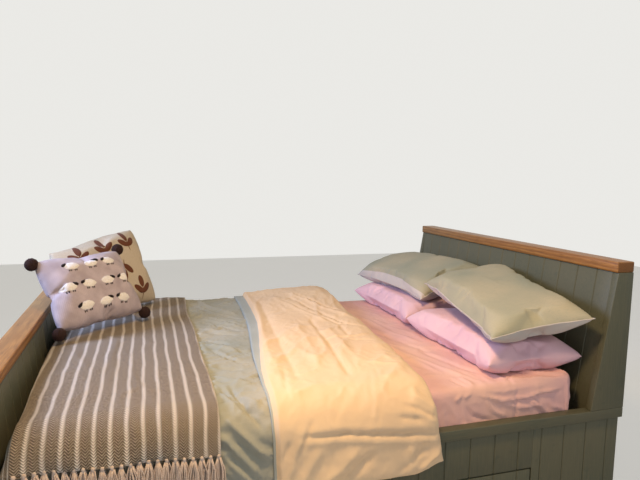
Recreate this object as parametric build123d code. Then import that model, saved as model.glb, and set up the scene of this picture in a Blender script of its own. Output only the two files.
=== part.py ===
from build123d import *
import os
from math import atan, cos, radians, sin, tan

# Cabin bed of painted boards with oak caps, made up with its bedding.
# Millimetres. +X is the head end, -Y the open side, +Z up.
# The origin is on the floor, under the middle of the base.

# Base
bed_length = 2200
bed_depth = 1495
rail_top = 700
rail_height = 38
rail_width = 40
board_thickness = 16
board_recess = 10
plinth_height = 80

# Inside the base
post_size = 45
ledger_height = 45
deck_drop = 90
slat_thickness = 18
slat_width = 70
slat_count = 14
deck_board_reach = 68
sole_width = 45

# Raked end boards and their caps, by their height above the rails
rake = 9
cheek_thickness = 28
panel_setback = 14
back_board_thickness = 12
head_cap_rise = 558
head_cap_height = 40
head_cap_depth = 78
foot_cap_rise = 277
foot_cap_height = 37
foot_cap_depth = 80
cap_overhang = 8
cap_edge_radius = 5

# Drawers under the bed, one each side of the middle stile
middle_stile_width = 72
drawer_front_width = 660
drawer_apron = 154
drawer_gap = 5
drawer_box_inset = 15
drawer_back_room = 79
drawer_side_drop = 60
drawer_side_thickness = 12
drawer_bottom_thickness = 9
runner_width = 52
runner_height = 20
runner_lift = 25
runner_clearance = 0.3
knob_radius = 17
knob_stem_radius = 8
knob_stem_length = 14
knob_length = 28
knob_inset = 150
knob_drop = 120

# Mattress
mattress_thickness = 220
mattress_corner = 35
mattress_edge = 28
mattress_foot_gap = 5
mattress_head_gap = 55
mattress_front_gap = 2.5
mattress_back_gap = 12.5

# Bedding, one layer on another, with hems by their drop from the mattress top
soft_gap = 0.3
drape_gap = 3
drape_bend = 45
duvet_thickness = 36
duvet_drop = 224
duvet_from_head = 555
fold_thickness = 34
fold_drop = 230
fold_skew = 5.3
bare_strip = 227
throw_thickness = 12
throw_drop = 82
throw_reach = 565
throw_foot_drop = 70
cloth_back_reach = 28
fringe_length = 95
fringe_thickness = 7
fringe_inset = 30

# Stuffed pads
pad_edge_turn = 75
pad_crown = 0.45

# Pillows in two stacks; the upper ones lean on the lower
pillow_margin = 17
pillow_width = 415
pillow_thickness = 114
pillow_corner = 25
pillow_head_gap = 204
pillow_front_inset = 20
pillow_back_inset = 4
pillow_low_back_shift = 4
pillow_top_front_shift = 4
pillow_top_front_reach = 50
pillow_top_front_lift = 40
pillow_top_front_along = (0.15, 0.98, 0.10)
pillow_top_front_facing = (-0.18, -0.07, 0.98)
pillow_top_back_shift = 32
pillow_top_back_reach = 9
pillow_top_back_lift = 56.6
pillow_top_back_along = (-0.05, 0.99, 0.03)
pillow_top_back_facing = (-0.36, -0.05, 0.93)

# Cushions at the foot end
cushion_width = 415
cushion_height = 315
back_cushion_width = 410
back_cushion_height = 395
cushion_thickness = 150
cushion_corner = 35
pompom_radius = 27
cushion_from_foot = 143
cushion_from_back = 536
cushion_lift = 177.3
cushion_along = (0.774, 0.631, 0.052)
cushion_facing = (0.505, -0.665, 0.55)
back_cushion_from_foot = 192
back_cushion_from_back = 213
back_cushion_lift = 193
back_cushion_along = (0.809, 0.585, 0.05)
back_cushion_facing = (0.51, -0.742, 0.435)

half_length = bed_length / 2
half_depth = bed_depth / 2
rail_bottom = rail_top - rail_height
rail_inside = half_depth - rail_width
board_face = half_depth - board_recess
board_back = board_face - board_thickness
end_face = half_length - board_recess
end_back = end_face - board_thickness
slope = tan(radians(rake))
deck_top = rail_top - deck_drop
ledger_top = deck_top - slat_thickness
ledger_bottom = ledger_top - ledger_height
drawer_inner_edge = middle_stile_width / 2 + drawer_gap
drawer_outer_edge = drawer_inner_edge + drawer_front_width
drawer_middle = (drawer_outer_edge + drawer_inner_edge) / 2
drawer_front_bottom = plinth_height + drawer_gap
drawer_front_top = rail_bottom - drawer_apron
outer_post = drawer_outer_edge + drawer_gap + post_size
post_row = board_back - post_size / 2
runner_bottom = plinth_height + runner_lift


def end_foot(cap_rise, cap_height, cap_depth):
    """Where a raked cheek stands on the rail, measured from the middle of the bed."""
    return half_length - cap_depth + cap_overhang - slope * (cap_rise - cap_height)


head_foot = end_foot(head_cap_rise, head_cap_height, head_cap_depth)
foot_foot = end_foot(foot_cap_rise, foot_cap_height, foot_cap_depth)
mattress_foot = mattress_foot_gap - foot_foot
mattress_head = head_foot - mattress_head_gap + panel_setback
mattress_front = mattress_front_gap - rail_inside
mattress_back = rail_inside - mattress_back_gap
mattress_top = deck_top + mattress_thickness
duvet_top = mattress_top + soft_gap + duvet_thickness
duvet_outside = half_depth + drape_gap + duvet_thickness
throw_top = duvet_top + soft_gap + throw_thickness
throw_foot = mattress_foot - soft_gap - throw_thickness
throw_head_edge = mattress_foot + throw_reach
cloth_back = rail_inside + cloth_back_reach
pillow_length = (mattress_back - mattress_front) / 2 - pillow_margin

nodes = {}


def block(x, y, z):
    """A box between the given pairs of X, Y and Z."""
    size = [high - low for low, high in (x, y, z)]
    middle = [(low + high) / 2 for low, high in (x, y, z)]
    return Pos(*middle) * Box(*size)


def mirror_pair(low, high):
    """The same span on the other side of zero."""
    return (-high, -low)


def side_shape(points, y):
    """An outline in X and Z, drawn through the span y."""
    outline = make_face(Polyline(*points, close=True))
    return Pos(0, y[1], 0) * extrude(Plane.XZ * outline, y[1] - y[0])


def rails():
    long_span = (-half_length, half_length)
    height = (rail_bottom, rail_top)
    cross_span = (-rail_inside, rail_inside)
    nodes["back_rail"] = block(long_span, (rail_inside, half_depth), height)
    nodes["front_rail"] = block(long_span, (-half_depth, -rail_inside), height)
    nodes["end_rails"] = Compound([
        block((half_length - rail_width, half_length), cross_span, height),
        block((-half_length, rail_width - half_length), cross_span, height),
    ])


def boarding():
    front = (-board_face, -board_back)
    height = (plinth_height, rail_bottom)
    beside = drawer_outer_edge + drawer_gap
    between = drawer_inner_edge - drawer_gap
    nodes["front_boards_head_side"] = block((beside, end_face), front, height)
    nodes["front_boards_foot_side"] = block((-end_face, -beside), front, height)
    nodes["front_boards_middle"] = block(
        (-between, between), front, (plinth_height, drawer_front_top + drawer_gap)
    )
    nodes["front_boards_over_drawers"] = block(
        (-beside, beside), front, (drawer_front_top + drawer_gap, rail_bottom)
    )
    nodes["back_boards"] = block((-end_face, end_face), (board_back, board_face), height)
    inside = (-board_back, board_back)
    nodes["end_boards"] = Compound([
        block((end_back, end_face), inside, height),
        block((-end_face, -end_back), inside, height),
    ])


def plinths():
    height = (0, plinth_height)
    long_span = (-end_face, end_face)
    cross_span = (-board_back, board_back)
    nodes["front_plinth"] = block(long_span, (-board_face, -board_back), height)
    nodes["back_plinth"] = block(long_span, (board_back, board_face), height)
    nodes["end_plinths"] = Compound([
        block((end_back, end_face), cross_span, height),
        block((-end_face, -end_back), cross_span, height),
    ])


def posts_and_ledgers():
    corner_post = end_back - post_size / 2
    posts = []
    ledgers = []
    for y in (-post_row, 0, post_row):
        for x in (-corner_post, -outer_post, 0, outer_post, corner_post):
            post = Box(post_size, post_size, ledger_bottom)
            posts.append(Pos(x, y, ledger_bottom / 2) * post)
        width = (y - post_size / 2, y + post_size / 2)
        ledgers.append(block((-end_back, end_back), width, (ledger_bottom, ledger_top)))
    nodes["posts"] = Compound(posts)
    nodes["ledgers"] = Compound(ledgers)


def deck():
    height = (ledger_top, deck_top)
    across = (-board_back, board_back)
    head_board = head_foot - deck_board_reach
    foot_board = deck_board_reach - foot_foot
    slats = [
        block((head_board, end_back), across, height),
        block((-end_back, foot_board), across, height),
    ]
    pitch = (head_board - foot_board) / (slat_count + 1)
    for number in range(1, slat_count + 1):
        x = foot_board + number * pitch
        slats.append(block((x - slat_width / 2, x + slat_width / 2), across, height))
    nodes["deck_slats"] = Compound(slats)


def end_box(name, side, cheek_foot, cap_rise, cap_height, cap_depth):
    """The raked panel at one end, with its cheeks, back, sole and cap."""
    cap_top = rail_top + cap_rise
    top = cap_top - cap_height
    panel_top = half_length - cap_depth + cap_overhang
    panel_foot = cheek_foot + panel_setback
    panel_lean = atan((panel_top - panel_foot) / (top - rail_top))
    panel_width = board_thickness / cos(panel_lean)
    inside = half_depth - cheek_thickness

    def mirrored(points):
        return [(side * x, z) for x, z in points]

    def span(low, high):
        return (low, high) if side > 0 else mirror_pair(low, high)

    panel = [
        (panel_foot, rail_top),
        (panel_foot + panel_width, rail_top),
        (panel_top + panel_width, top),
        (panel_top, top),
    ]
    cheek = [
        (cheek_foot, rail_top),
        (half_length, rail_top),
        (half_length, top),
        (panel_top, top),
    ]
    nodes[f"{name}board_panel"] = side_shape(mirrored(panel), (-inside, inside))
    nodes[f"{name}board_cheeks"] = Compound([
        side_shape(mirrored(cheek), (-half_depth, -inside)),
        side_shape(mirrored(cheek), (inside, half_depth)),
    ])
    nodes[f"{name}board_back"] = block(
        span(half_length - back_board_thickness, half_length),
        (-inside, inside),
        (rail_top, top),
    )
    nodes[f"{name}board_sole"] = block(
        span(panel_foot, panel_foot + sole_width),
        (-rail_inside, rail_inside),
        (deck_top, rail_top),
    )
    cap = block(
        span(half_length - cap_depth, half_length),
        (-half_depth, half_depth),
        (top, cap_top),
    )
    room_edges = cap.edges().filter_by(Axis.Y).sort_by(Axis.X, reverse=side < 0)[:2]
    nodes[f"{name}board_cap"] = fillet(room_edges, cap_edge_radius)


def drawer(side, name):
    middle = side * drawer_middle
    half_front = drawer_front_width / 2
    half_box = half_front - drawer_box_inset
    box_front = -board_back
    box_back = -post_size / 2 - drawer_back_room
    bottom = runner_bottom + runner_height + runner_clearance
    side_top = drawer_front_top - drawer_side_drop
    nodes[f"drawer_front_{name}"] = block(
        (middle - half_front, middle + half_front),
        (-board_face, box_front),
        (drawer_front_bottom, drawer_front_top),
    )
    walls = (bottom + drawer_bottom_thickness, side_top)
    inner = half_box - drawer_side_thickness
    nodes[f"drawer_sides_{name}"] = Compound([
        block((middle - half_box, middle - inner), (box_front, box_back), walls),
        block((middle + inner, middle + half_box), (box_front, box_back), walls),
    ])
    nodes[f"drawer_back_{name}"] = block(
        (middle - inner, middle + inner),
        (box_back - drawer_side_thickness, box_back),
        walls,
    )
    nodes[f"drawer_bottom_{name}"] = block(
        (middle - half_box, middle + half_box),
        (box_front, box_back),
        (bottom, bottom + drawer_bottom_thickness),
    )
    knobs = []
    for x in (middle - half_front + knob_inset, middle + half_front - knob_inset):
        stem = Pos(0, 0, knob_stem_length / 2) * Cylinder(knob_stem_radius, knob_stem_length)
        head_length = knob_length - knob_stem_length
        head = Pos(0, 0, knob_stem_length + head_length / 2) * Cylinder(knob_radius, head_length)
        head = fillet(head.edges(), head_length / 4)
        place = Plane((x, -board_face, drawer_front_top - knob_drop), (1, 0, 0), (0, -1, 0))
        knobs.append(place * (stem + head))
    nodes[f"drawer_knobs_{name}"] = Compound(knobs)


def runners():
    """Battens between the posts, which the drawers slide on."""
    length = (-board_back, post_size / 2)
    height = (runner_bottom, runner_bottom + runner_height)
    inner = (post_size / 2, post_size / 2 + runner_width)
    post_side = outer_post - post_size / 2
    outer = (post_side - runner_width, post_side)
    spans = (inner, outer, mirror_pair(*inner), mirror_pair(*outer))
    nodes["drawer_runners"] = Compound([block(span, length, height) for span in spans])


def mattress():
    body = block(
        (mattress_foot, mattress_head),
        (mattress_front, mattress_back),
        (deck_top, mattress_top),
    )
    body = fillet(body.edges().filter_by(Axis.Z), mattress_corner)
    nodes["mattress"] = fillet(body.faces().sort_by(Axis.Z)[-1].edges(), mattress_edge)


def drape(under, thickness, outside, hem, x):
    """Cloth that lies on a level and hangs over the front, drawn through the span x."""
    top = under + thickness
    back_top = (cloth_back, top)
    section = FilletPolyline(
        (-outside, hem), (-outside, top), back_top, (cloth_back, under),
        (thickness - outside, under), (thickness - outside, hem),
        radius=[0, drape_bend + thickness, thickness / 2, 0, drape_bend, 0],
        close=True,
    )
    return Pos(x[0], 0, 0) * extrude(Plane.YZ * make_face(section), x[1] - x[0])


def skewed_band(low, high):
    """A tall prism between two lines that cross the bed, turned by the fold's skew."""
    reach = bed_depth
    run = reach * tan(radians(fold_skew))
    corners = [(low - run, -reach), (high - run, -reach), (high + run, reach), (low + run, reach)]
    return extrude(make_face(Polyline(*corners, close=True)), 2 * mattress_top)


def bedding():
    wide = (-half_length, half_length)
    top = rail_top + head_cap_rise
    duvet_hem = mattress_top - duvet_drop
    duvet_edge = mattress_head - duvet_from_head
    cover = drape(mattress_top + soft_gap, duvet_thickness, duvet_outside, duvet_hem, wide)
    foot_cut = block((mattress_foot, half_length), (-bed_depth, bed_depth), (0, top))
    nodes["duvet"] = cover & skewed_band(-bed_length, duvet_edge) & foot_cut
    turned = drape(
        duvet_top + soft_gap, fold_thickness,
        duvet_outside + soft_gap + fold_thickness, mattress_top - fold_drop, wide,
    )
    fold_foot_edge = throw_head_edge + bare_strip
    nodes["duvet_fold"] = turned & skewed_band(fold_foot_edge, duvet_edge)
    throw_outside = duvet_outside + soft_gap + throw_thickness
    throw_hem = mattress_top - throw_drop
    laid = drape(
        duvet_top + soft_gap, throw_thickness, throw_outside, throw_hem,
        (throw_foot, throw_head_edge),
    )
    tail = block(
        (throw_foot, throw_foot + throw_thickness),
        (mattress_front + drape_bend, cloth_back),
        (duvet_top - throw_foot_drop, duvet_top + soft_gap),
    )
    nodes["throw"] = laid + tail
    fringe_middle = throw_thickness / 2 - throw_outside
    nodes["throw_fringe"] = block(
        (throw_foot + fringe_inset, throw_head_edge),
        (fringe_middle - fringe_thickness / 2, fringe_middle + fringe_thickness / 2),
        (throw_hem - fringe_length, throw_hem),
    )


def stuffed(length, width, thickness, corner):
    """A stuffed pad with a thin edge, flat in XY."""
    rings = []
    for step in range(-3, 4):
        lean = radians(step * pad_edge_turn / 3)
        share = 1 - pad_crown * (1 - cos(lean))
        outline = RectangleRounded(length * share, width * share, corner * share)
        rings.append(Pos(0, 0, thickness / 2 * sin(lean) / sin(radians(pad_edge_turn))) * outline)
    return loft(rings, ruled=True)


def pillows():
    pad = stuffed(pillow_length, pillow_width, pillow_thickness, pillow_corner)
    x = head_foot - pillow_head_gap + panel_setback
    front = mattress_front + pillow_length / 2 + pillow_front_inset
    back = mattress_back - pillow_length / 2 - pillow_back_inset
    low = mattress_top + pillow_thickness / 2 + soft_gap
    high = low + pillow_thickness
    level = (0, 0, 1)
    low_front = Plane((x, front, low), (0.01, 1, 0), level)
    low_back = Plane((x + pillow_low_back_shift, back, low), (-0.005, 1, 0), level)
    top_front_middle = (
        x + pillow_top_front_shift, front - pillow_top_front_reach, high + pillow_top_front_lift
    )
    top_back_middle = (
        x + pillow_top_back_shift, back + pillow_top_back_reach, high + pillow_top_back_lift
    )
    top_front = Plane(top_front_middle, pillow_top_front_along, pillow_top_front_facing)
    top_back = Plane(top_back_middle, pillow_top_back_along, pillow_top_back_facing)
    nodes["pillow_low_front"] = low_front * pad
    nodes["pillow_low_back"] = low_back * pad
    nodes["pillow_top_front"] = top_front * pad
    nodes["pillow_top_back"] = top_back * pad


def cushions():
    front = stuffed(cushion_width, cushion_height, cushion_thickness, cushion_corner)
    back = stuffed(back_cushion_width, back_cushion_height, cushion_thickness, cushion_corner)
    front_middle = (
        mattress_foot + cushion_from_foot, cloth_back - cushion_from_back, throw_top + cushion_lift
    )
    back_middle = (
        mattress_foot + back_cushion_from_foot,
        cloth_back - back_cushion_from_back,
        throw_top + back_cushion_lift,
    )
    front_place = Plane(front_middle, cushion_along, cushion_facing)
    back_place = Plane(back_middle, back_cushion_along, back_cushion_facing)
    nodes["cushion_front"] = front_place * front
    nodes["cushion_back"] = back_place * back
    reach = (pompom_radius + cushion_corner) * cos(radians(45)) - cushion_corner
    poms = []
    for right in (-1, 1):
        for up in (-1, 1):
            x = right * (cushion_width / 2 + reach)
            y = up * (cushion_height / 2 + reach)
            poms.append(front_place * (Pos(x, y, 0) * Sphere(pompom_radius)))
    nodes["cushion_pompoms"] = Compound(poms)


rails()
boarding()
plinths()
posts_and_ledgers()
deck()
end_box("head", 1, head_foot, head_cap_rise, head_cap_height, head_cap_depth)
end_box("foot", -1, foot_foot, foot_cap_rise, foot_cap_height, foot_cap_depth)
drawer(1, "head_side")
drawer(-1, "foot_side")
runners()
mattress()
bedding()
pillows()
cushions()

os.makedirs("parts", exist_ok=True)
for node, shape in nodes.items():
    export_step(shape, f"parts/{node}.step")
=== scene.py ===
import math
import random
from contextlib import contextmanager
from functools import partial

import bmesh
import bpy
from mathutils import Matrix, Vector, noise
from mathutils.bvhtree import BVHTree


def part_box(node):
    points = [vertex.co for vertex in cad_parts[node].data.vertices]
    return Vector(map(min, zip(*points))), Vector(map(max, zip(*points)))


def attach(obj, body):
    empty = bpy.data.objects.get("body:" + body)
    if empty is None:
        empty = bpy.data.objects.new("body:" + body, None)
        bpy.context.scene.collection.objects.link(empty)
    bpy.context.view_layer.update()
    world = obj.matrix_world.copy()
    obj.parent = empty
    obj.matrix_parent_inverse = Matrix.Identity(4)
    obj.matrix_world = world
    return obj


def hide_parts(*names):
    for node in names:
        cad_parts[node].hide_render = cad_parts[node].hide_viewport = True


# A cabin bed of painted boards with oak caps, made up with its bedding.
# +X is the head end, -Y the open side, +Z up. Sizes are in metres.
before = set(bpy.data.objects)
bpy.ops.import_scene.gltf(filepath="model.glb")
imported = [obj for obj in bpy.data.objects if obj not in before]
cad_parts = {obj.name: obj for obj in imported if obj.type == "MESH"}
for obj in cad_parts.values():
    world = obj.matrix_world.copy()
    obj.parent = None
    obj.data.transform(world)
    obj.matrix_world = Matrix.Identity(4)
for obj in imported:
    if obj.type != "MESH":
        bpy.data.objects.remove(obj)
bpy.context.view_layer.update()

MM = 0.001
HERE = "bed"
DRAWERS = {"head_side": "drawer_head_side", "foot_side": "drawer_foot_side"}


def span(name):
    """The lowest and highest corners of a solid of the frame, as vectors."""
    low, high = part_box(name)
    return Vector(low), Vector(high)


# Boards
board_pitch = 98.7 * MM
board_phase = 446 * MM
head_board_pitch = 97.5 * MM
head_board_phase = 36 * MM
groove_half = 3.6 * MM
groove_floor = 0.9 * MM
groove_depth = 3.4 * MM
eased_edge = 1.6 * MM
cap_edge = 5 * MM
cap_overhang = 8 * MM
cheek_thickness = 28 * MM


def from_srgb(value):
    """A hex colour as linear red, green, blue and alpha."""
    parts = [int(value[i : i + 2], 16) / 255 for i in (1, 3, 5)]
    linear = [c / 12.92 if c <= 0.04045 else ((c + 0.055) / 1.055) ** 2.4 for c in parts]
    return (*linear, 1)


def add_node(tree, kind, sockets=None, out=0, **settings):
    """One shader node with its settings. A socket is set to a value or a hex colour, or
    linked to another node's output. Gives back the output that is asked for."""
    made = tree.nodes.new("ShaderNode" + kind)
    for name, value in settings.items():
        setattr(made, name, value)
    for name, value in (sockets or {}).items():
        if isinstance(value, bpy.types.NodeSocket):
            tree.links.new(value, made.inputs[name])
        else:
            colour = isinstance(value, str)
            made.inputs[name].default_value = from_srgb(value) if colour else value
    return made.outputs[out]


def new_material(name, roughness, specular=0.5, sheen=0.0, sheen_roughness=0.5):
    """A named material, its shader with its fixed values set, and add_node for its tree."""
    material = bpy.data.materials.new(name)
    material.use_nodes = True
    shader = material.node_tree.nodes["Principled BSDF"]
    shader.inputs["Roughness"].default_value = roughness
    shader.inputs["Specular IOR Level"].default_value = specular
    shader.inputs["Sheen Weight"].default_value = sheen
    shader.inputs["Sheen Roughness"].default_value = sheen_roughness
    return material, shader, partial(add_node, material.node_tree)


def finish_surface(shader, colour, height, depth, roughness=None):
    """Link the colour, a bump of a real depth and, where it varies, the roughness."""
    tree = shader.id_data
    sockets = {"Height": height, "Distance": depth, "Strength": 1.0}
    tree.links.new(add_node(tree, "Bump", sockets), shader.inputs["Normal"])
    tree.links.new(colour, shader.inputs["Base Color"])
    if roughness is not None:
        tree.links.new(roughness, shader.inputs["Roughness"])


def stain(node, base, colour, pattern, low, high, most=1.0):
    """Bring a colour in over another as a pattern goes from low to high."""
    sockets = {"Value": pattern, "From Min": low, "From Max": high, "To Max": most}
    return node("MixRGB", {"Fac": node("MapRange", sockets), "Color1": base, "Color2": colour})


def along_grain(along, share):
    """Scale of a pattern that is drawn out along one axis: 1 across, a small share along."""
    return [share if axis == along else 1.0 for axis in range(3)]


# Materials of the joinery

def eggshell_paint(name, along):
    """Sage green eggshell, brushed on: faint brush lines along each board, and patches
    that differ a little where the coat is thinner."""
    material, shader, node = new_material(name, 0.5, 0.4)
    brush_line, coat_patch, rubbed_patch = 1.5 * MM, 260 * MM, 38 * MM
    place = node("TexCoord", out="Object")
    brushed = node("Mapping", {"Vector": place, "Scale": along_grain(along, 0.02)})
    lines = node("TexNoise", {"Vector": brushed, "Scale": 1 / brush_line, "Detail": 2.0})
    patches = node("TexNoise", {"Vector": place, "Scale": 1 / coat_patch, "Detail": 3.0})
    rubbed = node("TexNoise", {"Vector": place, "Scale": 1 / rubbed_patch, "Detail": 5.0})
    colour = stain(node, "#474D3F", "#565543", patches, 0.3, 0.7)
    colour = stain(node, colour, "#5D5C49", lines, 0.35, 0.75)
    colour = stain(node, colour, "#3F463C", rubbed, 0.62, 0.74, 0.35)
    roughness = node("MapRange", {"Value": lines, "To Min": 0.4, "To Max": 0.62})
    finish_surface(shader, colour, lines, 0.12 * MM, roughness)
    return material


def oiled_oak(name, along):
    """Oiled oak: long orange-brown grain with dark pores, and a satin finish."""
    material, shader, node = new_material(name, 0.42, 0.5)
    ring_width, streak, pore_width = 16 * MM, 5 * MM, 1.8 * MM
    place = node("TexCoord", out="Object")
    grain = node("Mapping", {"Vector": place, "Scale": along_grain(along, 0.06)})
    fine_grain = node("Mapping", {"Vector": place, "Scale": along_grain(along, 0.03)})
    sockets = {"Vector": grain, "Scale": 1 / (3 * ring_width), "Distortion": 5.0,
               "Detail": 3.0, "Detail Scale": 1.6}
    rings = node("TexWave", sockets, out="Fac", bands_direction="Z")
    streaks = node("TexNoise", {"Vector": grain, "Scale": 1 / streak, "Detail": 4.0})
    pores = node("TexNoise", {"Vector": fine_grain, "Scale": 1 / pore_width, "Detail": 2.0})
    colour = node("MixRGB", {"Fac": rings, "Color1": "#7A5022", "Color2": "#A6763C"})
    colour = stain(node, colour, "#8C5E2B", streaks, 0.4, 0.65)
    pore_mask = node("MapRange", {"Value": pores, "From Min": 0.58, "From Max": 0.7})
    pore_tint = node("Math", {0: pore_mask, 1: 0.75}, operation="MULTIPLY")
    colour = node("MixRGB", {"Fac": pore_tint, "Color1": colour, "Color2": "#55341A"})
    height = node("Math", {0: rings, 1: pore_mask}, operation="SUBTRACT")
    finish_surface(shader, colour, height, 0.25 * MM)
    return material


def sawn_end_grain(name):
    """The cut end of an oak cap: darker, with close rings."""
    material, shader, node = new_material(name, 0.6, 0.4)
    ring_width, speck = 4 * MM, 1.6 * MM
    place = node("TexCoord", out="Object")
    heart = node("Mapping", {"Vector": place, "Location": (-0.06, 0, 0.12)})
    sockets = {"Vector": heart, "Scale": math.pi / (10 * ring_width), "Distortion": 1.5,
               "Detail": 2.0}
    rings = node("TexWave", sockets, out="Fac", wave_type="RINGS", rings_direction="Y")
    specks = node("TexNoise", {"Vector": place, "Scale": 1 / speck, "Detail": 2.0})
    colour = node("MixRGB", {"Fac": rings, "Color1": "#6A441F", "Color2": "#875A2E"})
    colour = stain(node, colour, "#4C2C14", specks, 0.55, 0.7)
    finish_surface(shader, colour, specks, 0.2 * MM)
    return material


def planed_softwood(name, along):
    """Planed pale pine: straight grain with darker late wood."""
    material, shader, node = new_material(name, 0.6, 0.4)
    ring_width, fibre = 12 * MM, 1.4 * MM
    place = node("TexCoord", out="Object")
    grain = node("Mapping", {"Vector": place, "Scale": along_grain(along, 0.03)})
    sockets = {"Vector": grain, "Scale": 1 / ring_width, "Distortion": 2.4, "Detail": 2.0}
    rings = node("TexWave", sockets, out="Fac", bands_direction="DIAGONAL")
    fibres = node("TexNoise", {"Vector": grain, "Scale": 1 / fibre, "Detail": 3.0})
    colour = node("MixRGB", {"Fac": rings, "Color1": "#D9B98A", "Color2": "#C39C66"})
    colour = stain(node, colour, "#B48A55", fibres, 0.5, 0.8)
    finish_surface(shader, colour, fibres, 0.1 * MM)
    return material


def birch_plywood(name):
    """Birch plywood: a pale face with fine flecks, and thin plies where it is cut."""
    material, shader, node = new_material(name, 0.55, 0.4)
    ply, fleck = 1.4 * MM, 2.2 * MM
    place = node("TexCoord", out="Object")
    grain = node("Mapping", {"Vector": place, "Scale": along_grain(1, 0.06)})
    flecks = node("TexNoise", {"Vector": grain, "Scale": 1 / fleck, "Detail": 3.0})
    sockets = {"Vector": place, "Scale": math.pi / (10 * ply)}
    plies = node("TexWave", sockets, out="Fac", bands_direction="Z")
    colour = stain(node, "#DFC79B", "#C9AA78", flecks, 0.4, 0.8)
    ply_tint = node("Math", {0: plies, 1: 0.18}, operation="MULTIPLY")
    colour = node("MixRGB", {"Fac": ply_tint, "Color1": colour, "Color2": "#A98556"})
    finish_surface(shader, colour, flecks, 0.08 * MM)
    return material


# Materials of the bedding

def woven(node, place, thread):
    """Warp and weft threads of this width, as they cross."""
    spacing = {"Vector": place, "Scale": math.pi / (10 * thread)}
    warp = node("TexWave", spacing, out="Fac", bands_direction="X")
    weft = node("TexWave", spacing, out="Fac", bands_direction="Y")
    return node("Math", {0: warp, 1: weft}, operation="MULTIPLY")


def washed_cotton(name, colour, shade, light, crease=3.5 * MM, slub=0.0):
    """Washed cotton percale: matt, finely woven and crinkled, and paler on the raised creases as a
    painted highlight.
    The real threads are 0.2 mm apart, so they are drawn coarser to show at all."""
    material, shader, node = new_material(name, 0.85, 0.2, sheen=0.06, sheen_roughness=0.6)
    thread_shown, thread_height = 1.6 * MM, 0.12 * MM
    crinkle_size, patch_size, slub_width = 75 * MM, 300 * MM, 3.4 * MM
    place = node("TexCoord", out="Object")
    threads = woven(node, place, thread_shown)
    sockets = {"Vector": place, "Scale": 1 / crinkle_size, "Detail": 5.0, "Roughness": 0.55,
               "Distortion": 0.7}
    crinkles = node("TexNoise", sockets, noise_type="RIDGED_MULTIFRACTAL")
    patches = node("TexNoise", {"Vector": place, "Scale": 1 / patch_size, "Detail": 2.0})
    tint = stain(node, colour, shade, patches, 0.3, 0.7)
    # Painted highlight: the raised crinkles are tinted towards the paler colour.
    tint = stain(node, tint, light, crinkles, 0.4, 1.4, 0.35)
    if slub:
        drawn = node("Mapping", {"Vector": place, "Scale": along_grain(0, 0.04)})
        lines = node("TexNoise", {"Vector": drawn, "Scale": 1 / slub_width, "Detail": 3.0})
        tint = stain(node, tint, shade, lines, 0.5, 0.75, slub)
    sockets = {0: crinkles, 1: crease / thread_height, 2: threads}
    height = node("Math", sockets, operation="MULTIPLY_ADD")
    finish_surface(shader, tint, height, thread_height)
    return material


def herringbone_throw(name):
    """Woven wool-mix throw: heathered taupe herringbone with cream stripes that the twill
    breaks up. It reads the cloth's own flat layout, in metres, across and along. The real
    bones are half as large, so they and the heather are drawn coarser to show."""
    material, shader, node = new_material(name, 0.95, 0.1, sheen=0.08, sheen_roughness=0.7)
    stripe_pitch, stripe_half = 42 * MM, 4.6 * MM
    stripe_edge, stripe_ragged = 2.2 * MM, 4 * MM
    bone_width, twill_step = 10.5 * MM, 7.6 * MM
    fleck, heather_size = 7 * MM, 6 * MM
    bend_size, bend = 190 * MM, 8 * MM
    layout = node("UVMap", uv_map="flat")
    across = node("SeparateXYZ", {0: layout}, out="X")
    along = node("SeparateXYZ", {0: layout}, out="Y")
    # The wobble bends every stripe a little, as a cloth thrown over a bed does.
    wobble = node("TexNoise", {"Vector": layout, "Scale": 1 / bend_size, "Detail": 1.0})
    shift = node("MapRange", {"Value": wobble, "To Min": -bend, "To Max": bend})
    bent = node("Math", {0: across, 1: shift}, operation="ADD")
    zigzag = node("Math", {0: bent, 1: bone_width}, operation="PINGPONG")
    diagonal = node("Math", {0: along, 1: zigzag}, operation="ADD")
    ribs = node("Math", {0: diagonal, 1: twill_step / 2}, operation="PINGPONG")
    sockets = {"Value": ribs, "From Min": 0.25 * twill_step / 2, "From Max": 0.75 * twill_step / 2}
    rib = node("MapRange", sockets)
    from_stripe = node("Math", {0: bent, 1: stripe_pitch / 2}, operation="PINGPONG")
    ragged = node("Math", {0: rib, 1: -stripe_ragged, 2: from_stripe}, operation="MULTIPLY_ADD")
    sockets = {"Value": ragged, "From Min": stripe_half + stripe_edge - stripe_ragged / 2,
               "From Max": stripe_half - stripe_edge - stripe_ragged / 2}
    stripe = node("MapRange", sockets)
    sockets = {"Vector": layout, "Scale": 1 / fleck, "Detail": 4.0, "Roughness": 0.9}
    flecks = node("TexNoise", sockets)
    ground = node("MixRGB", {"Fac": rib, "Color1": "#281D15", "Color2": "#AA9B87"})
    ground = stain(node, ground, "#AE9F8B", flecks, 0.4, 0.68, 0.46)
    drawn = node("Mapping", {"Vector": layout, "Scale": along_grain(1, 0.5)})
    heather = node("TexNoise", {"Vector": drawn, "Scale": 1 / heather_size, "Detail": 3.0})
    ground = stain(node, ground, "#43362B", heather, 0.42, 0.64, 0.36)
    pale = node("MixRGB", {"Fac": rib, "Color1": "#A3988C", "Color2": "#E2DACF"})
    tint = node("MixRGB", {"Fac": stripe, "Color1": ground, "Color2": pale})
    height = node("Math", {0: flecks, 1: 0.6, 2: rib}, operation="MULTIPLY_ADD")
    finish_surface(shader, tint, height, 0.9 * MM)
    return material


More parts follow.
